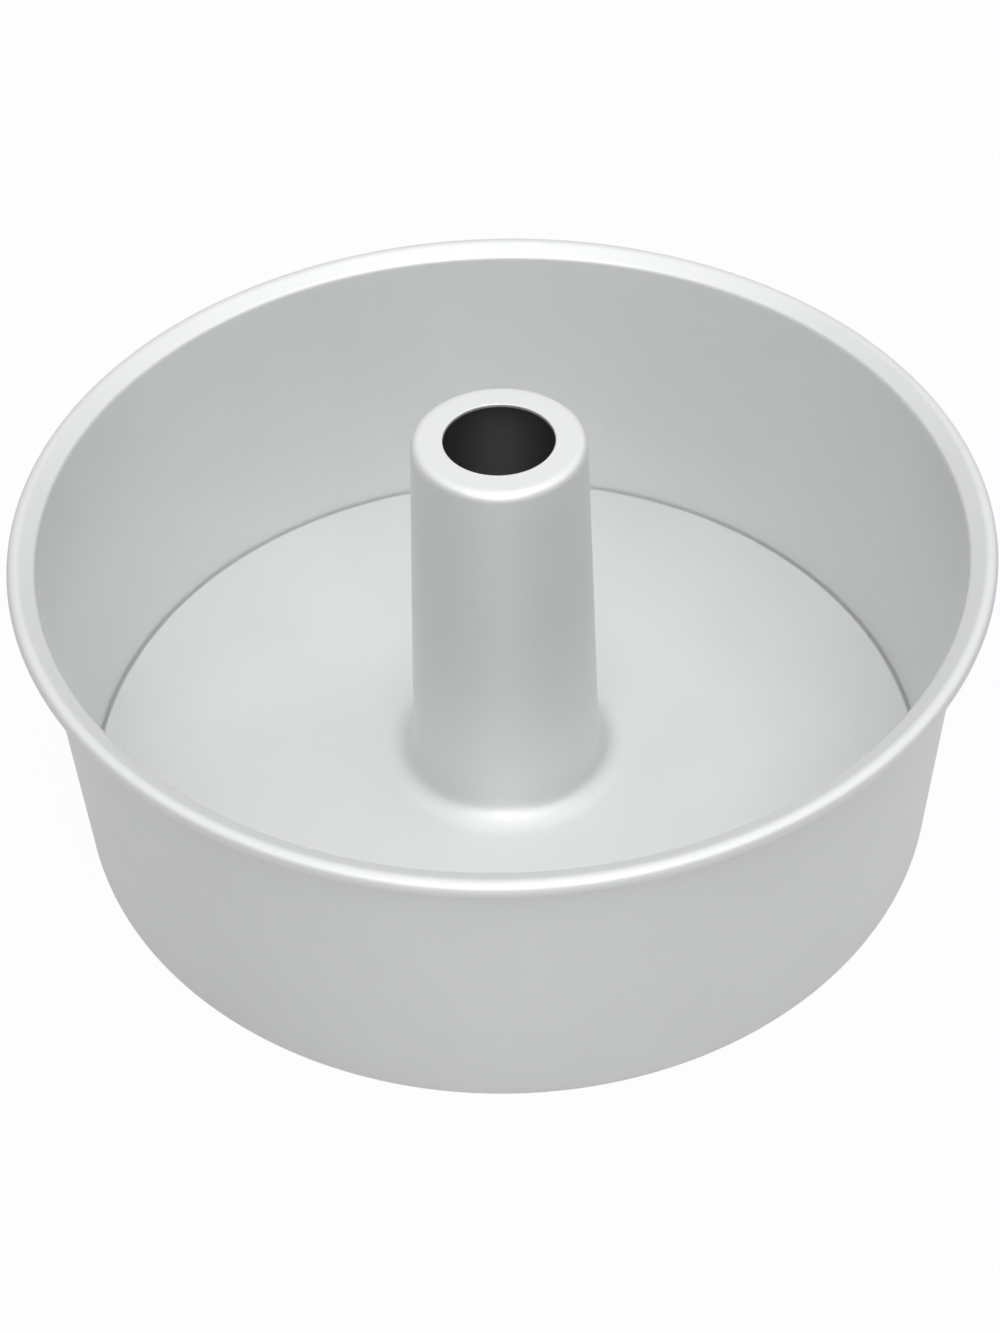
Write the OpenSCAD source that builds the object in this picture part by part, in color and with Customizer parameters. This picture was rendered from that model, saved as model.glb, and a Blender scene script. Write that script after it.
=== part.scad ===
// Angel food cake pan: a spun side wall with a rolled rim, and a lift-out base drawn up into a tube.
// Millimetres, +Z up. The origin is the centre of the circle the pan stands on.

/* [Side wall] */
// Outside diameter over the rolled rim
rim_d = 214; // [180:1:260]
// Height from the floor to the top of the rolled rim
wall_h = 76; // [60:1:110]
// Thickness of the side wall sheet
wall_t = 1; // [0.8:0.1:1.2]
// Slope of the side wall, in degrees from upright
wall_slope = 1.4; // [0.4:0.1:2.4]
// Width of the flat ledge turned in at the bottom
ledge_w = 8.5; // [6:0.5:16]

/* [Rolled rim] */
// Diameter of the rolled bead
bead_d = 3.7; // [3.6:0.1:4.4]
// How far the rim stands out from the inside of the wall
rim_w = 6.1; // [5.8:0.1:9]
// Radius of the flare, on its inner face, where the wall turns out to the bead
flare_r = 1.6; // [1.5:0.1:3]
// Slope of the flare where it reaches the bead, in degrees from upright
flare_slope = 57; // [48:1:64]
// How far the sheet is rolled round the bead, in degrees
bead_turn = 285; // [240:5:290]

/* [Lift-out base] */
// Thickness of the base and tube sheet
base_t = 1; // [0.8:0.1:1.2]
// Easing of the base's outer edge, above and below
base_ease = 0.3; // [0.1:0.1:0.4]
// Gap between the edge of the base and the wall around it
edge_gap = 0.7; // [0.6:0.1:2.5]

/* [Tube] */
// Height from the floor to the top of the tube
tube_h = 95.8; // [85:0.1:140]
// Outside diameter of the tube, measured at its top
tube_top_d = 37.8; // [34:0.1:42]
// Outside diameter of the tube, measured at the base
tube_foot_d = 44.8; // [43:0.1:60]
// Radius of the hollow curve between the base and the tube
foot_r = 7; // [3:0.5:12]
// Outside radius of the shoulder at the top of the tube
shoulder_r = 2.2; // [1.5:0.1:3]
// Diameter of the round hole in the top of the tube
hole_d = 24; // [18:0.5:26]
// Easing of the upper edge of the hole
hole_ease = 0.3; // [0.1:0.1:0.5]

/* [Hidden] */
$fn = 180;

// Width by which a curve is drawn past the straight stretches it joins
blend = 0.004;

// Outside radius of the bottom corner, whose curve starts where the base's flat underside ends
corner_r = wall_t + base_ease + edge_gap;
bead_r = bead_d / 2;
flare_turn = flare_slope - wall_slope;
// Length of the straight stretch between the flare's curve and the bead
flare_len = ((rim_w - bead_r) * cos(wall_slope) + bead_r * sin(wall_slope)
    - flare_r + (flare_r - bead_r) * cos(flare_turn)) / sin(flare_turn);
// Distance from the axis to the centre of the bottom corner's curve
corner_x = rim_d / 2 - rim_w
    - ((wall_h - corner_r) * sin(wall_slope) + corner_r - wall_t) / cos(wall_slope);
// Length of the straight wall, from the corner's curve up to the flare's
wall_len = (rim_d / 2 - bead_r - corner_x) * sin(wall_slope)
    + (wall_h - bead_r - corner_r) * cos(wall_slope)
    - (flare_r - bead_r) * sin(flare_turn) - flare_len * cos(flare_turn);

// The base lies on the ledge
base_top = wall_t + base_t;
base_r = corner_x + base_ease;

foot_radius = tube_foot_d / 2;
tube_slope = atan((tube_foot_d - tube_top_d) / 2 / (tube_h - base_top));
// Distances from the axis to the centres of the foot's curve and the shoulder's curve
foot_x = foot_radius + foot_r * (1 - sin(tube_slope)) / cos(tube_slope);
shoulder_x = foot_radius
    - ((tube_h - shoulder_r - base_top) * sin(tube_slope) + shoulder_r) / cos(tube_slope);
// Length of the straight tube, from the foot's curve up to the shoulder's
tube_len = (foot_x - shoulder_x) * sin(tube_slope)
    + (tube_h - shoulder_r - base_top - foot_r) * cos(tube_slope);

// A section is drawn as a path of sheet. The path runs along +Y with the sheet on its left, and
// each stretch places the next one, its child, at its own end. A curve is drawn wider by blend,
// and it and the straight stretch beside it run on into each other, so their faces cross cleanly.

// Square root of the product of a curve's two radii
function mean_radius(r_in, r_out) = sqrt(r_in * r_out);

// How far a straight stretch runs on into a curve of these radii
function run_on(r_in, r_out) = sqrt(2 * blend * mean_radius(r_in, r_out));

// How far a curve of these radii runs on into a straight stretch, in degrees
function turn_on(r_in, r_out) = run_on(r_in, r_out) / mean_radius(r_in, r_out) * 180 / PI;

// Straight stretch of sheet that runs on by before and after into the curves beside it
module straight(t, length, before, after) {
    translate([-t, -before]) square([t, before + length + after]);
    translate([0, length]) children();
}

// Ring of sheet, from which a bend or a bead is cut
module ring(r_in, r_out) {
    difference() {
        circle(r = r_out + blend);
        circle(r = r_in + blend);
    }
}

// Ring from its start on the X axis to a turn of less than 180 degrees, to the left or the right
module bend(r_in, r_out, turn, side) {
    reach = 2 * r_out;
    half_plane = [2 * reach, reach];
    over = turn_on(r_in, r_out);
    intersection() {
        ring(r_in, r_out);
        rotate(-side * over) translate([-reach, 0]) square(half_plane);
        rotate(side * (turn + over)) translate([-reach, -reach]) square(half_plane);
    }
}

// Curve to the left; the path's own face has the radius r
module turn_left(t, r, turn) {
    translate([-r, 0]) {
        bend(r - t, r, turn, 1);
        rotate(turn) translate([r, 0]) children();
    }
}

// Curve to the right; the path's own face has the radius r
module turn_right(t, r, turn) {
    translate([r, 0]) {
        bend(r, r + t, turn, -1);
        rotate(-turn) translate([-r, 0]) children();
    }
}

// Last curve to the right, rolled on by more than 180 degrees round a hollow of radius r
module roll_right(t, r, turn) {
    reach = 2 * (r + t);
    gap_start = 180 + turn_on(r, r + t);
    gap_end = 540 - turn;
    translate([r, 0]) difference() {
        ring(r, r + t);
        polygon([
            [0, 0],
            reach * [cos(gap_start), sin(gap_start)],
            2 * reach * [cos((gap_start + gap_end) / 2), sin((gap_start + gap_end) / 2)],
            reach * [cos(gap_end), sin(gap_end)]
        ]);
    }
}

// First straight stretch of a path, with both edges of the sheet eased at its start
module eased_start(t, length, after, ease) {
    far = length + after;
    polygon([[-t, far], [-t, ease], [ease - t, 0], [-ease, 0], [0, ease], [0, far]]);
    translate([0, length]) children();
}

// Last straight stretch of a path, with the edge of its own face eased at its end
module eased_end(t, length, before, ease) {
    polygon([[0, -before], [0, length - ease], [-ease, length], [-t, length], [-t, -before]]);
}

// Ledge, bottom corner, wall, flare and hollow bead, from the inner edge of the ledge
module wall_section() {
    corner_run = run_on(corner_r - wall_t, corner_r);
    flare_run = run_on(flare_r - wall_t, flare_r);
    bead_run = run_on(bead_r - wall_t, bead_r);
    translate([corner_x - ledge_w, 0]) rotate(-90)
        straight(wall_t, ledge_w, 0, corner_run)
        turn_left(wall_t, corner_r, 90 - wall_slope)
        straight(wall_t, wall_len, corner_run, flare_run)
        turn_right(wall_t, flare_r - wall_t, flare_turn)
        straight(wall_t, flare_len, flare_run, bead_run)
        roll_right(wall_t, bead_r - wall_t, bead_turn);
}

// Disc, foot curve, tube, shoulder and the ring round the hole, from the edge of the disc
module base_section() {
    foot_run = run_on(foot_r, foot_r + base_t);
    shoulder_run = run_on(shoulder_r - base_t, shoulder_r);
    translate([base_r, base_top]) rotate(90)
        eased_start(base_t, base_r - foot_x, foot_run, base_ease)
        turn_right(base_t, foot_r, 90 - tube_slope)
        straight(base_t, tube_len, foot_run, shoulder_run)
        turn_left(base_t, shoulder_r, 90 - tube_slope)
        eased_end(base_t, shoulder_x - hole_d / 2, shoulder_run, hole_ease);
}

module side_wall() {
    color([0.78, 0.79, 0.79]) rotate_extrude() wall_section();
}

module tube_base() {
    color([0.84, 0.85, 0.85]) rotate_extrude() base_section();
}

side_wall();
tube_base();
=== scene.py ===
"""Angel food cake pan of satin anodised aluminium: a spun side wall with a rolled rim, and a
lift-out base drawn up into a tube, on a white studio floor. Run as a script in Blender 4.5."""
import math

import bmesh
import bpy
from mathutils import Matrix, Vector


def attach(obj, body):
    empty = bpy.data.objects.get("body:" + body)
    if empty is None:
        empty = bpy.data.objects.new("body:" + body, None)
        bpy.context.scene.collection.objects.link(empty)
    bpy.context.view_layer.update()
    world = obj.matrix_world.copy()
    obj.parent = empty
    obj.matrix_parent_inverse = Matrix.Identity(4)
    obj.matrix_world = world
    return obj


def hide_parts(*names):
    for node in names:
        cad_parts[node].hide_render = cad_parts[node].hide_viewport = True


bl_info = {
    "name": "Angel food cake pan",
    "version": (1, 0, 0),
    "blender": (4, 5, 0),
    "location": "View3D > Sidebar > Cake Pan",
    "description": "Builds a spun side wall and a lift-out tube base in satin anodised aluminium",
    "category": "Object",
}

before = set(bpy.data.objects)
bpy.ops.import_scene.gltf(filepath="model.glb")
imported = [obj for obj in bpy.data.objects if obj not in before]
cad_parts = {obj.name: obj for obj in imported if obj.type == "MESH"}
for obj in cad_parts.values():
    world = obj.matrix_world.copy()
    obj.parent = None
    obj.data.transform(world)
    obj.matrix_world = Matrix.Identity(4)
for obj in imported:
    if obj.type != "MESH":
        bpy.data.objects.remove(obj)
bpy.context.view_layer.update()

MM = 0.001
RIGHT_ANGLE = math.radians(90)
HALF_TURN = math.radians(180)

# The section is swept round a small hub circle, which keeps the sweep's own path off the axis
HUB_RADIUS = 1 * MM
ARC_STEP = math.radians(6)
# Distance from a curve at which a flat stretch gets one more ring of points, to hold its shading
SUPPORT = 0.4 * MM
WELD_DISTANCE = 0.0001 * MM
# Way that the upper face of level sheet looks in a section
UPWARD = Vector((0, 1))

# Radius of a free edge's rounding, and how near to that edge its face's last points may come,
# both as shares of half the sheet's thickness
LIP_ROUNDING = 0.6
LIP_CLEARANCE = 0.7
LIP_STEPS = 4


def linear(hex_colour):
    """Linear RGBA of an sRGB colour written in hex."""
    channels = [int(hex_colour[i:i + 2], 16) / 255 for i in (1, 3, 5)]
    return [c / 12.92 if c <= 0.04045 else ((c + 0.055) / 1.055) ** 2.4 for c in channels] + [1.0]


# Sizes and colours that a user would change

class SideWallSizes(bpy.types.PropertyGroup):
    rim_diameter: bpy.props.FloatProperty(
        name="Rim diameter", description="Outside diameter over the rolled rim",
        default=214 * MM, unit="LENGTH")
    height: bpy.props.FloatProperty(
        name="Height", description="From the floor to the top of the rolled rim",
        default=76 * MM, unit="LENGTH")
    sheet: bpy.props.FloatProperty(
        name="Sheet", description="Thickness of the side wall sheet",
        default=1 * MM, unit="LENGTH")
    slope: bpy.props.FloatProperty(
        name="Slope", description="Slope of the wall from upright",
        default=math.radians(1.4), unit="ROTATION")
    corner_radius: bpy.props.FloatProperty(
        name="Corner radius", description="Outside radius of the bottom corner",
        default=2 * MM, unit="LENGTH")
    ledge_width: bpy.props.FloatProperty(
        name="Ledge width", description="Width of the flat ledge turned in at the bottom",
        default=8.5 * MM, unit="LENGTH")
    bead_diameter: bpy.props.FloatProperty(
        name="Bead diameter", description="Diameter of the rolled bead",
        default=3.7 * MM, unit="LENGTH")
    rim_width: bpy.props.FloatProperty(
        name="Rim width", description="How far the rim stands out from the inside of the wall",
        default=6.1 * MM, unit="LENGTH")
    flare_radius: bpy.props.FloatProperty(
        name="Flare radius", description="Radius of the flare on its inner face",
        default=1.6 * MM, unit="LENGTH")
    flare_slope: bpy.props.FloatProperty(
        name="Flare slope", description="Slope of the flare where it reaches the bead",
        default=math.radians(57), unit="ROTATION")
    bead_turn: bpy.props.FloatProperty(
        name="Bead turn", description="How far the sheet is rolled round the bead",
        default=math.radians(285), unit="ROTATION")


class TubeBaseSizes(bpy.types.PropertyGroup):
    sheet: bpy.props.FloatProperty(
        name="Sheet", description="Thickness of the base and tube sheet",
        default=1 * MM, unit="LENGTH")
    seat_height: bpy.props.FloatProperty(
        name="Seat height", description="Height of the ledge that the base lies on",
        default=1 * MM, unit="LENGTH")
    disc_diameter: bpy.props.FloatProperty(
        name="Disc diameter", description="Outside diameter of the base",
        default=196.78 * MM, unit="LENGTH")
    tube_height: bpy.props.FloatProperty(
        name="Tube height", description="From the floor to the top of the tube",
        default=95.8 * MM, unit="LENGTH")
    top_diameter: bpy.props.FloatProperty(
        name="Top diameter", description="Outside diameter of the tube, measured at its top",
        default=37.8 * MM, unit="LENGTH")
    foot_diameter: bpy.props.FloatProperty(
        name="Foot diameter", description="Outside diameter of the tube, measured at the base",
        default=44.8 * MM, unit="LENGTH")
    foot_radius: bpy.props.FloatProperty(
        name="Foot radius", description="Radius of the hollow curve between base and tube",
        default=7 * MM, unit="LENGTH")
    shoulder_radius: bpy.props.FloatProperty(
        name="Shoulder radius", description="Outside radius of the shoulder at the tube's top",
        default=2.2 * MM, unit="LENGTH")
    hole_diameter: bpy.props.FloatProperty(
        name="Hole diameter", description="Diameter of the round hole in the tube's top",
        default=24 * MM, unit="LENGTH")


class FinishSettings(bpy.types.PropertyGroup):
    wall: bpy.props.FloatVectorProperty(
        name="Wall", description="Colour of the side wall's anodised aluminium",
        default=linear("#E4E5E5")[:3], subtype="COLOR", min=0, max=1)
    # Painted light: the base is the same aluminium as the wall, and its colour is set a little
    # paler to brighten its level disc, standing in for more light from above
    base: bpy.props.FloatVectorProperty(
        name="Base", description="Colour of the base's anodised aluminium, drawn and so paler",
        default=linear("#E8E9E9")[:3], subtype="COLOR", min=0, max=1)
    # Painted shade: a darker colour on the inside of the tube that stands in for the shade down its
    # bore, not a duller finish; the metal there is the same as outside
    inside: bpy.props.FloatVectorProperty(
        name="Inside", description="Colour of the dull inside of the tube",
        default=linear("#909090")[:3], subtype="COLOR", min=0, max=1)
    roughness: bpy.props.FloatProperty(
        name="Roughness", description="How far upright satin sheet spreads a reflection",
        default=0.5, min=0, max=1, subtype="FACTOR")
    flat_roughness: bpy.props.FloatProperty(
        name="Flat roughness", description="How far level sheet spreads a reflection",
        default=0.75, min=0, max=1, subtype="FACTOR")
    turned: bpy.props.FloatProperty(
        name="Turned", description="How far the turned lines of upright sheet draw a light out",
        default=0.6, min=0, max=1, subtype="FACTOR")
    steps_round: bpy.props.IntProperty(
        name="Steps round", description="Number of steps that a section is swept in",
        default=288, min=24)


class StudioSettings(bpy.types.PropertyGroup):
    board: bpy.props.FloatVectorProperty(
        name="Board", description="Colour of the floor board",
        default=linear("#BEBEBE")[:3], subtype="COLOR", min=0, max=1)
    sky: bpy.props.FloatProperty(
        name="Sky", description="Strength of the even light from all round", default=0.71, min=0)
    mirrored_sky: bpy.props.FloatProperty(
        name="Mirrored sky", description="Strength of the white surroundings in a reflection",
        default=0.71, min=0)
    overhead: bpy.props.FloatProperty(
        name="Overhead", description="Power of the overhead softbox in watts",
        default=5.6, min=0)
    front: bpy.props.FloatProperty(
        name="Front", description="Power of the softbox high in front in watts",
        default=5.1, min=0)
    right: bpy.props.FloatProperty(
        name="Right", description="Power of the softbox high on the right in watts",
        default=1.5, min=0)


class CakePanSettings(bpy.types.PropertyGroup):
    wall: bpy.props.PointerProperty(type=SideWallSizes)
    base: bpy.props.PointerProperty(type=TubeBaseSizes)
    finish: bpy.props.PointerProperty(type=FinishSettings)
    studio: bpy.props.PointerProperty(type=StudioSettings)


# Nodes

def add_node(tree, kind, inputs=None, **settings):
    """Adds a node with its settings; each input is a value, or another node's output socket."""
    node = tree.nodes.new(kind)
    for name, value in settings.items():
        setattr(node, name, value)
    for key, value in (inputs or {}).items():
        if isinstance(value, bpy.types.NodeSocket):
            tree.links.new(value, node.inputs[key])
        else:
            node.inputs[key].default_value = value
    return node


# Sections of sheet

def arc(centre, radius, start, end, side):
    """Middle line of a curve of sheet, as pairs of a point and the way its upper face looks.
    Side is 1 where the upper face is outside the curve, and -1 where it is inside."""
    count = math.ceil(abs(end - start) / ARC_STEP)
    turns = [start + (end - start) * i / count for i in range(count + 1)]
    ways = [Vector((math.cos(a), math.sin(a))) for a in turns]
    return [(centre + radius * way, side * way) for way in ways]


def joined(stretches):
    """One middle line from its curves, with the support rings on the flats between them."""
    line = list(stretches[0])
    for following in stretches[1:]:
        (start, face), (end, _) = line[-1], following[0]
        along = (end - start).normalized()
        line += [(start + SUPPORT * along, face), (end - SUPPORT * along, face)]
        line += following
    return line


def lip(place, face, way):
    """Rounded free edge of the sheet at the end of its middle line: pairs of a point and an
    offset in half thicknesses, from the upper face round to the lower one."""
    quarter = []
    for i in range(LIP_STEPS + 1):
        turn = RIGHT_ANGLE * i / LIP_STEPS
        inset = 1 - LIP_ROUNDING + LIP_ROUNDING * math.cos(turn)
        quarter.append((inset, LIP_ROUNDING * (math.sin(turn) - 1)))
    upper = [(place, inset * face + back * way) for inset, back in quarter]
    lower = [(place, -inset * face + back * way) for inset, back in reversed(quarter)]
    return upper + lower


def closed_outline(line, sheet):
    """Both faces and both free edges of the sheet, as one closed loop of points and offsets."""
    (first, first_face), (last, last_face) = line[0], line[-1]
    clear = LIP_CLEARANCE * sheet / 2
    upper = [(p, f) for p, f in line if min((p - first).length, (p - last).length) > clear]
    lower = [(p, -f) for p, f in reversed(upper)]
    end_way = (last - upper[-1][0]).normalized()
    start_way = (first - upper[0][0]).normalized()
    return (upper + lip(last, last_face, end_way) + lower
            + lip(first, -first_face, start_way))


def side_wall_line(s):
    """Middle line of the side wall: ledge, bottom corner, wall, flare and rolled bead."""
    half = s.sheet / 2
    bead = s.bead_diameter / 2
    turn = s.flare_slope - s.slope
    up = Vector((math.sin(s.slope), math.cos(s.slope)))
    out = Vector((math.cos(s.slope), -math.sin(s.slope)))

    flare_length = ((s.rim_width - bead) * math.cos(s.slope) + bead * math.sin(s.slope)
                    - s.flare_radius
                    + (s.flare_radius - bead) * math.cos(turn)) / math.sin(turn)
    corner = Vector((
        s.rim_diameter / 2 - s.rim_width
        - ((s.height - s.corner_radius) * math.sin(s.slope)
           + s.corner_radius - s.sheet) / math.cos(s.slope),
        s.corner_radius))
    bead_centre = Vector((s.rim_diameter / 2 - bead, s.height - bead))
    wall_length = ((bead_centre - corner).dot(up) - (s.flare_radius - bead) * math.sin(turn)
                   - flare_length * math.cos(turn))
    flare = corner + (s.corner_radius + s.flare_radius - s.sheet) * out + wall_length * up

    ledge_edge = corner - Vector((s.ledge_width, s.corner_radius - half))
    bead_start = HALF_TURN - s.flare_slope
    return joined([
        [(ledge_edge, UPWARD)],
        arc(corner, s.corner_radius - half, -RIGHT_ANGLE, -s.slope, -1),
        arc(flare, s.flare_radius - half, HALF_TURN - s.slope, bead_start, 1),
        arc(bead_centre, bead - half, bead_start, bead_start - s.bead_turn, 1),
    ])


def tube_base_line(s):
    """Middle line of the base: disc, foot curve, tube, shoulder and the ring round the hole."""
    half = s.sheet / 2
    base_top = s.seat_height + s.sheet
    foot_outside = s.foot_diameter / 2
    slope = math.atan((s.foot_diameter - s.top_diameter) / 2 / (s.tube_height - base_top))
    foot = Vector((
        foot_outside + s.foot_radius * (1 - math.sin(slope)) / math.cos(slope),
        base_top + s.foot_radius))
    shoulder = Vector((
        foot_outside - ((s.tube_height - s.shoulder_radius - base_top) * math.sin(slope)
                        + s.shoulder_radius) / math.cos(slope),
        s.tube_height - s.shoulder_radius))

    return joined([
        [(Vector((s.disc_diameter / 2, base_top - half)), UPWARD)],
        arc(foot, s.foot_radius + half, 3 * RIGHT_ANGLE, HALF_TURN + slope, -1),
        arc(shoulder, s.shoulder_radius - half, slope, RIGHT_ANGLE, 1),
        [(Vector((s.hole_diameter / 2, s.tube_height - half)), UPWARD)],
    ])


# Spinning a section into a closed shell

def spinning_tree():
    """Geometry nodes that give a section's loop its sheet thickness and sweep it round the axis."""
    tree = bpy.data.node_groups.new("Spun sheet", "GeometryNodeTree")
    sockets = tree.interface
    sockets.new_socket("Section", in_out="INPUT", socket_type="NodeSocketGeometry")
    sheet = sockets.new_socket("Sheet thickness", in_out="INPUT", socket_type="NodeSocketFloat")
    sheet.subtype = "DISTANCE"
    sockets.new_socket("Steps round", in_out="INPUT", socket_type="NodeSocketInt")
    sockets.new_socket("Finish", in_out="INPUT", socket_type="NodeSocketMaterial")
    sockets.new_socket("Shell", in_out="OUTPUT", socket_type="NodeSocketGeometry")

    given = add_node(tree, "NodeGroupInput")
    offset = add_node(tree, "GeometryNodeInputNamedAttribute", {"Name": "offset"},
                      data_type="FLOAT_VECTOR")
    half = add_node(tree, "ShaderNodeMath", {0: given.outputs["Sheet thickness"], 1: 0.5},
                    operation="MULTIPLY")
    shift = add_node(tree, "ShaderNodeVectorMath",
                     {0: offset.outputs["Attribute"], "Scale": half.outputs[0]},
                     operation="SCALE")
    thick = add_node(tree, "GeometryNodeSetPosition",
                     {"Geometry": given.outputs["Section"], "Offset": shift.outputs["Vector"]})
    laid = add_node(tree, "GeometryNodeTransform",
                    {"Geometry": thick.outputs[0], "Translation": (-HUB_RADIUS, 0, 0),
                     "Rotation": (RIGHT_ANGLE, 0, 0)})
    outline = add_node(tree, "GeometryNodeMeshToCurve", {"Mesh": laid.outputs[0]})
    hub = add_node(tree, "GeometryNodeCurvePrimitiveCircle",
                   {"Resolution": given.outputs["Steps round"], "Radius": HUB_RADIUS})
    shell = add_node(tree, "GeometryNodeCurveToMesh",
                     {"Curve": hub.outputs[0], "Profile Curve": outline.outputs[0]})
    smooth = add_node(tree, "GeometryNodeSetShadeSmooth", {"Geometry": shell.outputs[0]})
    real = add_node(tree, "GeometryNodeRealizeInstances", {"Geometry": smooth.outputs[0]})
    finished = add_node(tree, "GeometryNodeSetMaterial",
                        {"Geometry": real.outputs[0], "Material": given.outputs["Finish"]})
    add_node(tree, "NodeGroupOutput", {"Shell": finished.outputs[0]})
    return tree


def section_object(name, line, sheet):
    """Scratch object that holds a section's loop, upright in the XZ plane, with the attributes
    that the tree and the material read: offset, and along, the distance down the sheet."""
    loop = closed_outline(line, sheet)
    reach = [0.0]
    for (here, _), (there, _) in zip(line, line[1:]):
        reach.append(reach[-1] + (there - here).length)
    points = [p for p, _ in line]

    def distance(place):
        nearest = min(range(len(points)), key=lambda i: (points[i] - place).length)
        return reach[nearest]

    mesh = bpy.data.meshes.new(name)
    count = len(loop)
    mesh.from_pydata([(p.x, 0, p.y) for p, _ in loop],
                     [(i, (i + 1) % count) for i in range(count)], [])
    offset = mesh.attributes.new("offset", "FLOAT_VECTOR", "POINT")
    offset.data.foreach_set("vector", [c for _, o in loop for c in (o.x, 0, o.y)])
    along = mesh.attributes.new("along", "FLOAT", "POINT")
    along.data.foreach_set("value", [distance(p) for p, _ in loop])
    section = bpy.data.objects.new(name, mesh)
    bpy.context.scene.collection.objects.link(section)
    return section


def spun_piece(name, line, sheet, steps, finish):
    """Closed shell of revolution from a middle line, as a plain mesh object at the origin."""
    section = section_object(name + ".section", line, sheet)
    tree = bpy.data.node_groups.get("Spun sheet") or spinning_tree()
    modifier = section.modifiers.new("Spin", "NODES")
    modifier.node_group = tree
    socket = {s.name: s.identifier for s in tree.interface.items_tree if s.in_out == "INPUT"}
    modifier[socket["Sheet thickness"]] = sheet
    modifier[socket["Steps round"]] = steps
    modifier[socket["Finish"]] = finish

    evaluated = section.evaluated_get(bpy.context.evaluated_depsgraph_get())
    mesh = bpy.data.meshes.new_from_object(evaluated)
    mesh.name = name
    section.modifiers.remove(modifier)
    bpy.data.objects.remove(section)
    if not mesh.polygons:
        raise RuntimeError(f"the section of {name} gave no faces")
    if "offset" in mesh.attributes:
        mesh.attributes.remove(mesh.attributes["offset"])

    work = bmesh.new()
    work.from_mesh(mesh)
    bmesh.ops.remove_doubles(work, verts=work.verts, dist=WELD_DISTANCE)
    bmesh.ops.recalc_face_normals(work, faces=work.faces)
    if work.calc_volume(signed=True) < 0:
        bmesh.ops.reverse_faces(work, faces=work.faces)
    work.to_mesh(mesh)
    work.free()
    mesh.shade_smooth()

    piece = bpy.data.objects.new(name, mesh)
    bpy.context.scene.collection.objects.link(piece)
    return piece


# Materials

# Lathe rings, uneven in depth
RING_SPACING = 1.6 * MM
RING_DEPTH = 0.05 * MM
# Etched grain, drawn coarser than the real 0.05 mm so that it shows
GRAIN_SIZE = 0.5 * MM
GRAIN_DEPTH = 0.02 * MM
GRAIN_ROUGHNESS = 0.03
# Clouding of the etch, and how much darker its patches get
CLOUD_SIZE = 25 * MM
CLOUD_SHADE = 0.95
BUMP_STRENGTH = 0.10
# Range that the noise of the grain mostly keeps to
NOISE_LOW = 0.3
NOISE_HIGH = 0.7
# Upward share of a face's normal where sheet counts as level, as sloping and as upright. The
# turned lines fade out from upright to level, and the matt face comes in from sloping to level.
LEVEL = 0.9
SLOPING = 0.6
UPRIGHT = 0.3
# Outward share of a face's normal at which the face counts wholly as inside the tube, for its
# painted shade
FACES_AXIS = -0.3
# How far below the tube's top the painted shade inside the tube starts, and where it is at full
# strength
BORE_SHADE_FROM = 0.6 * MM
BORE_SHADE_BELOW = 1.4 * MM
# Share of plain white light in what a direct view and a reflection see of the board
BOARD_SEEN = 0.96
BOARD_MIRRORED = 0.1


def bore_painted_shade(tree, place, tube_top):
    """Share of a point's colour that is painted shade on the inside of the tube: all of it on faces
    that look at the axis, from just below the hole's edge on down. It stands in for the shade down
    the bore; the metal there is the same."""
    beside = add_node(tree, "ShaderNodeVectorMath", {0: place.outputs["Object"], 1: (1, 1, 0)},
                      operation="MULTIPLY")
    outward = add_node(tree, "ShaderNodeVectorMath", {0: beside.outputs[0]},
                       operation="NORMALIZE")
    facing = add_node(tree, "ShaderNodeVectorMath",
                      {0: outward.outputs[0], 1: place.outputs["Normal"]},
                      operation="DOT_PRODUCT")
    inward = add_node(tree, "ShaderNodeMapRange",
                      {"Value": facing.outputs["Value"], "From Min": 0.0,
                       "From Max": FACES_AXIS})
    height = add_node(tree, "ShaderNodeSeparateXYZ", {0: place.outputs["Object"]})
    below = add_node(tree, "ShaderNodeMapRange",
                     {"Value": height.outputs["Z"], "From Min": tube_top - BORE_SHADE_FROM,
                      "From Max": tube_top - BORE_SHADE_BELOW})
    return add_node(tree, "ShaderNodeMath",
                    {0: inward.outputs["Result"], 1: below.outputs["Result"]},
                    operation="MULTIPLY")


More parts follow.
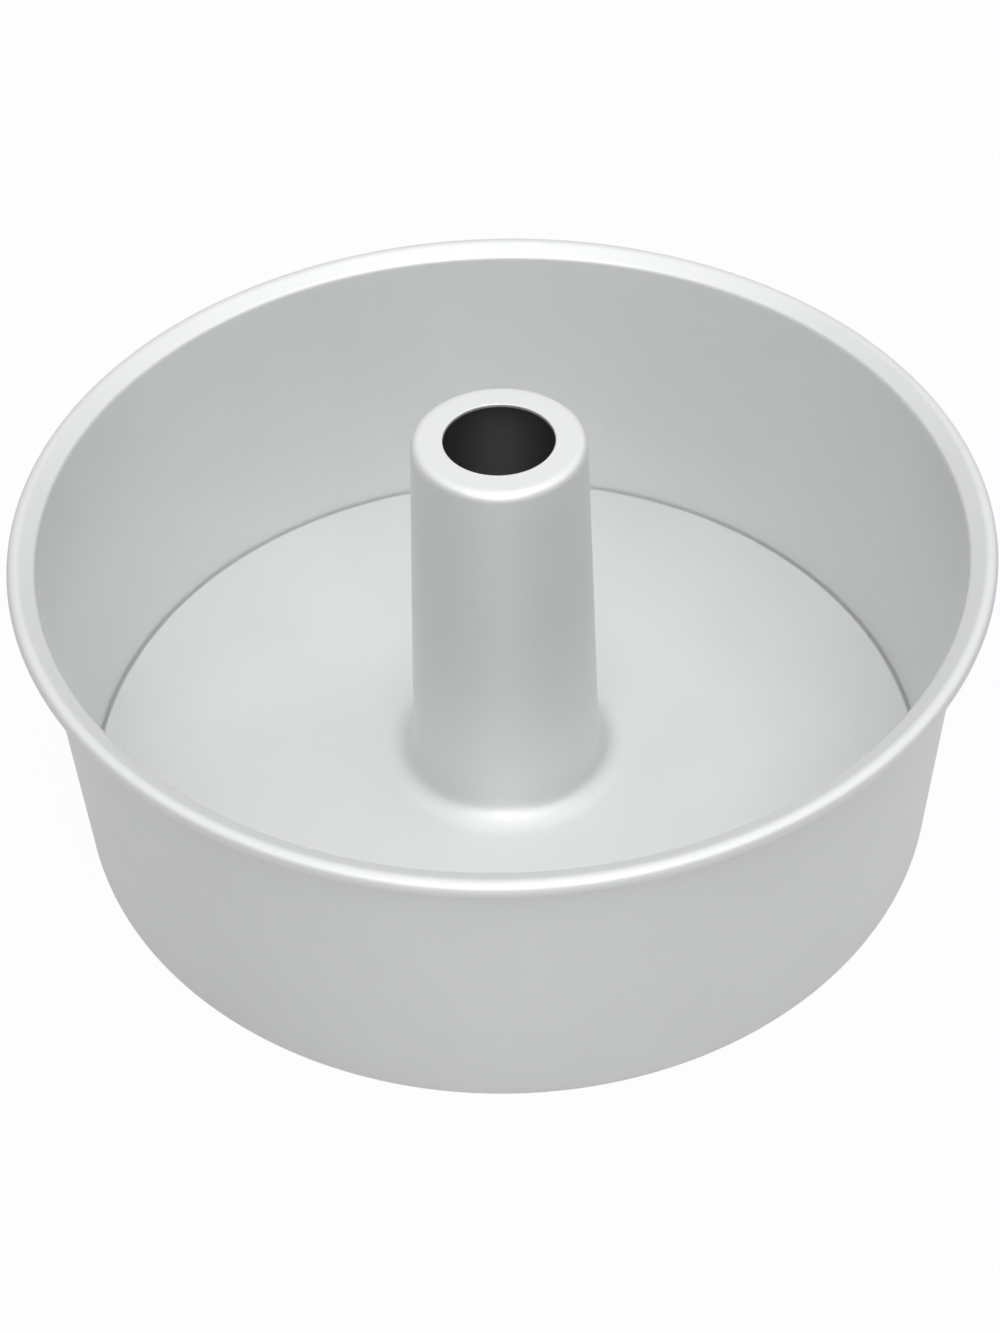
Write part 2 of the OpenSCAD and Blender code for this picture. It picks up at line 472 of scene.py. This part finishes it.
def anodised_aluminium(name, tint, settings, tube_top=None):
    """Satin anodised aluminium. The sheet is spun on a lathe, etched matt and anodised clear, so
    it is a pale neutral metal with no mirror image, a fine etched grain and faint lathe rings.
    Upright sheet is worked on the lathe and draws a reflection out up and down; level sheet
    keeps the even and more matt face of the flat blank. A piece with a tube gives the height of
    its top, and gets painted shade, a darker colour, on the inside of the tube below that."""
    material = bpy.data.materials.new(name)
    material.use_nodes = True
    tree = material.node_tree
    tree.nodes.clear()

    place = add_node(tree, "ShaderNodeTexCoord")
    along = add_node(tree, "ShaderNodeAttribute", attribute_name="along").outputs["Fac"]

    rings_at = add_node(tree, "ShaderNodeMath", {0: along, 1: 1 / RING_SPACING},
                        operation="MULTIPLY")
    rings = add_node(tree, "ShaderNodeTexNoise",
                     {"W": rings_at.outputs[0], "Scale": 1.0, "Detail": 2.0, "Roughness": 0.55},
                     noise_dimensions="1D")
    grain = add_node(tree, "ShaderNodeTexNoise",
                     {"Vector": place.outputs["Object"], "Scale": 1 / GRAIN_SIZE, "Detail": 2.0,
                      "Roughness": 0.6})
    cloud = add_node(tree, "ShaderNodeTexNoise",
                     {"Vector": place.outputs["Object"], "Scale": 1 / CLOUD_SIZE, "Detail": 3.0,
                      "Roughness": 0.5})

    pale = [*tint, 1.0]
    clouded = [CLOUD_SHADE * c for c in tint] + [1.0]
    colour = add_node(tree, "ShaderNodeMix", {"Factor": cloud.outputs["Fac"], 6: pale, 7: clouded},
                      data_type="RGBA")
    # Painted shade: the inside of the tube is mixed towards the darker inside colour, in place of
    # the shade down the bore
    if tube_top is not None:
        inside = bore_painted_shade(tree, place, tube_top)
        colour = add_node(tree, "ShaderNodeMix",
                          {"Factor": inside.outputs[0], 6: colour.outputs[2],
                           7: [*settings.inside, 1.0]}, data_type="RGBA")
    uneven = add_node(tree, "ShaderNodeMapRange",
                      {"Value": grain.outputs["Fac"], "From Min": NOISE_LOW,
                       "From Max": NOISE_HIGH, "To Min": -GRAIN_ROUGHNESS,
                       "To Max": GRAIN_ROUGHNESS})
    ring_bump = add_node(tree, "ShaderNodeBump",
                         {"Strength": BUMP_STRENGTH, "Distance": RING_DEPTH,
                          "Height": rings.outputs["Fac"]})
    bump = add_node(tree, "ShaderNodeBump",
                    {"Strength": BUMP_STRENGTH, "Distance": GRAIN_DEPTH,
                     "Height": grain.outputs["Fac"], "Normal": ring_bump.outputs["Normal"]})

    # The turned lines run round the axis; a quarter turn lays the long way of the sheen across
    across = add_node(tree, "ShaderNodeVectorMath",
                      {0: (0, 0, 1), 1: place.outputs["Object"]}, operation="CROSS_PRODUCT")
    lines = add_node(tree, "ShaderNodeVectorTransform", {0: across.outputs[0]},
                     vector_type="VECTOR", convert_from="OBJECT", convert_to="WORLD")
    lean = add_node(tree, "ShaderNodeSeparateXYZ", {0: place.outputs["Normal"]})
    level = add_node(tree, "ShaderNodeMath", {0: lean.outputs["Z"]}, operation="ABSOLUTE")
    turned = add_node(tree, "ShaderNodeMapRange",
                      {"Value": level.outputs[0], "From Min": LEVEL, "From Max": UPRIGHT,
                       "To Min": 0.0, "To Max": settings.turned})
    matt = add_node(tree, "ShaderNodeMapRange",
                    {"Value": level.outputs[0], "From Min": SLOPING, "From Max": LEVEL,
                     "To Min": settings.roughness, "To Max": settings.flat_roughness})
    rough = add_node(tree, "ShaderNodeMath",
                     {0: matt.outputs["Result"], 1: uneven.outputs["Result"]}, operation="ADD")

    shader = add_node(tree, "ShaderNodeBsdfPrincipled",
                      {"Base Color": colour.outputs[2], "Metallic": 1.0,
                       "Roughness": rough.outputs[0], "Normal": bump.outputs["Normal"],
                       "Anisotropic": turned.outputs["Result"], "Anisotropic Rotation": 0.25,
                       "Tangent": lines.outputs[0]})
    add_node(tree, "ShaderNodeOutputMaterial", {"Surface": shader.outputs[0]})
    return material


def direct_view(tree, path):
    """1 where the camera looks, straight or through glass, and 0 on any other ray."""
    return add_node(tree, "ShaderNodeMath",
                    {0: path.outputs["Is Camera Ray"], 1: path.outputs["Is Transmission Ray"]},
                    operation="MAXIMUM")


def studio_board(settings):
    """Matt studio board. A direct view has it as nearly plain white light and a reflection has it
    a little whiter than it is lit; what is left of its own shading keeps the pan's soft shadow."""
    material = bpy.data.materials.new("Matt white studio board")
    material.use_nodes = True
    tree = material.node_tree
    tree.nodes.clear()
    matt = add_node(tree, "ShaderNodeBsdfDiffuse", {"Color": [*settings.board, 1.0]})
    white = add_node(tree, "ShaderNodeEmission", {"Color": (1, 1, 1, 1), "Strength": 1.0})
    path = add_node(tree, "ShaderNodeLightPath")
    seen = add_node(tree, "ShaderNodeMath",
                    {0: direct_view(tree, path).outputs[0], 1: BOARD_SEEN}, operation="MULTIPLY")
    mirrored = add_node(tree, "ShaderNodeMath",
                        {0: path.outputs["Is Glossy Ray"], 1: BOARD_MIRRORED}, operation="MULTIPLY")
    share = add_node(tree, "ShaderNodeMath",
                     {0: seen.outputs[0], 1: mirrored.outputs[0]}, operation="ADD")
    mix = add_node(tree, "ShaderNodeMixShader",
                   {0: share.outputs[0], 1: matt.outputs[0], 2: white.outputs[0]})
    add_node(tree, "ShaderNodeOutputMaterial", {"Surface": mix.outputs[0]})
    return material


# Light and camera

FLOOR_HALF_WIDTH = 3.0
# The floor lies this far below the pan, so that their faces don't share a plane
FLOOR_DROP = 0.02 * MM

# Places and diameters of the softboxes, in metres
OVERHEAD_PLACE = (0, 0, 1.3)
OVERHEAD_DIAMETER = 1.8
FRONT_PLACE = (0, -0.65, 1.05)
RIGHT_PLACE = (0.75, 0, 0.95)
SIDE_DIAMETER = 0.7

# Camera worked out from the photo, in which the rim, the disc and the hole are ellipses
CAMERA_PLACE = (-0.00106, -0.3671, 0.3872)
CAMERA_PITCH = math.radians(44.34)
CAMERA_ROLL = math.radians(-1.51)
CAMERA_LENS = 59.5
CAMERA_SENSOR = 36


def softbox(name, place, diameter, watts):
    """Round softbox that faces the middle of the floor circle under the pan."""
    light = bpy.data.lights.new(name, "AREA")
    light.shape = "DISK"
    light.size = diameter
    light.energy = watts
    lamp = bpy.data.objects.new(name, light)
    lamp.location = place
    lamp.rotation_euler = (-Vector(place)).to_track_quat("-Z", "Y").to_euler()
    bpy.context.scene.collection.objects.link(lamp)


# Operators

class CAKEPAN_OT_side_wall(bpy.types.Operator):
    """Spin the side wall with its ledge, flare and rolled rim"""
    bl_idname = "cakepan.side_wall"
    bl_label = "Side Wall"

    def execute(self, context):
        settings = context.scene.cake_pan
        finish = anodised_aluminium("Satin anodised aluminium, spun wall",
                                    settings.finish.wall, settings.finish)
        wall = spun_piece("side_wall_spun", side_wall_line(settings.wall), settings.wall.sheet,
                          settings.finish.steps_round, finish)
        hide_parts("side_wall")
        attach(wall, "side_wall")
        return {"FINISHED"}


class CAKEPAN_OT_tube_base(bpy.types.Operator):
    """Spin the lift-out base, drawn up into its tube"""
    bl_idname = "cakepan.tube_base"
    bl_label = "Tube Base"

    def execute(self, context):
        settings = context.scene.cake_pan
        finish = anodised_aluminium("Satin anodised aluminium, drawn base",
                                    settings.finish.base, settings.finish,
                                    tube_top=settings.base.tube_height)
        base = spun_piece("tube_base_spun", tube_base_line(settings.base), settings.base.sheet,
                          settings.finish.steps_round, finish)
        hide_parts("tube_base")
        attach(base, "tube_base")
        return {"FINISHED"}


class CAKEPAN_OT_stage(bpy.types.Operator):
    """Lay the floor and set the light and the camera"""
    bl_idname = "cakepan.stage"
    bl_label = "Studio Stage"

    def execute(self, context):
        scene = context.scene
        studio = scene.cake_pan.studio

        mesh = bpy.data.meshes.new("floor")
        half = FLOOR_HALF_WIDTH
        low = -FLOOR_DROP
        mesh.from_pydata([(-half, -half, low), (half, -half, low), (half, half, low),
                          (-half, half, low)], [], [(0, 1, 2, 3)])
        mesh.materials.append(studio_board(studio))
        floor = bpy.data.objects.new("floor", mesh)
        scene.collection.objects.link(floor)

        softbox("overhead_softbox", OVERHEAD_PLACE, OVERHEAD_DIAMETER, studio.overhead)
        softbox("front_softbox", FRONT_PLACE, SIDE_DIAMETER, studio.front)
        softbox("right_softbox", RIGHT_PLACE, SIDE_DIAMETER, studio.right)

        world = bpy.data.worlds.new("White studio")
        world.use_nodes = True
        tree = world.node_tree
        tree.nodes.clear()
        path = add_node(tree, "ShaderNodeLightPath")
        mirrored = add_node(tree, "ShaderNodeMapRange",
                            {"Value": path.outputs["Is Glossy Ray"], "To Min": studio.sky,
                             "To Max": studio.mirrored_sky})
        seen = add_node(tree, "ShaderNodeMapRange",
                        {"Value": direct_view(tree, path).outputs[0],
                         "To Min": mirrored.outputs["Result"], "To Max": 1.0})
        sky = add_node(tree, "ShaderNodeBackground",
                       {"Color": (1, 1, 1, 1), "Strength": seen.outputs["Result"]})
        add_node(tree, "ShaderNodeOutputWorld", {"Surface": sky.outputs[0]})
        scene.world = world
        scene.view_settings.view_transform = "Standard"

        lens = bpy.data.cameras.new("camera")
        lens.sensor_width = CAMERA_SENSOR
        lens.lens = CAMERA_LENS
        camera = bpy.data.objects.new("camera", lens)
        camera.matrix_world = (
            Matrix.Translation(CAMERA_PLACE)
            @ Matrix.Rotation(RIGHT_ANGLE - CAMERA_PITCH, 4, "X")
            @ Matrix.Rotation(CAMERA_ROLL, 4, "Z"))
        scene.collection.objects.link(camera)
        scene.camera = camera
        return {"FINISHED"}


class CAKEPAN_PT_panel(bpy.types.Panel):
    bl_idname = "CAKEPAN_PT_panel"
    bl_label = "Cake Pan"
    bl_space_type = "VIEW_3D"
    bl_region_type = "UI"
    bl_category = "Cake Pan"

    def draw(self, context):
        settings = context.scene.cake_pan
        for title, group, operator in (
                ("Side wall", settings.wall, CAKEPAN_OT_side_wall),
                ("Tube base", settings.base, CAKEPAN_OT_tube_base),
                ("Finish", settings.finish, None),
                ("Studio", settings.studio, CAKEPAN_OT_stage)):
            box = self.layout.box()
            box.label(text=title)
            for name in group.__annotations__:
                box.prop(group, name)
            if operator:
                box.operator(operator.bl_idname)


CLASSES = (SideWallSizes, TubeBaseSizes, FinishSettings, StudioSettings, CakePanSettings,
           CAKEPAN_OT_side_wall, CAKEPAN_OT_tube_base, CAKEPAN_OT_stage, CAKEPAN_PT_panel)


def register():
    for cls in CLASSES:
        bpy.utils.register_class(cls)
    bpy.types.Scene.cake_pan = bpy.props.PointerProperty(type=CakePanSettings)


def unregister():
    del bpy.types.Scene.cake_pan
    for cls in reversed(CLASSES):
        bpy.utils.unregister_class(cls)


def main():
    register()
    bpy.ops.cakepan.side_wall()
    bpy.ops.cakepan.tube_base()
    bpy.ops.cakepan.stage()


if __name__ == "__main__":
    main()
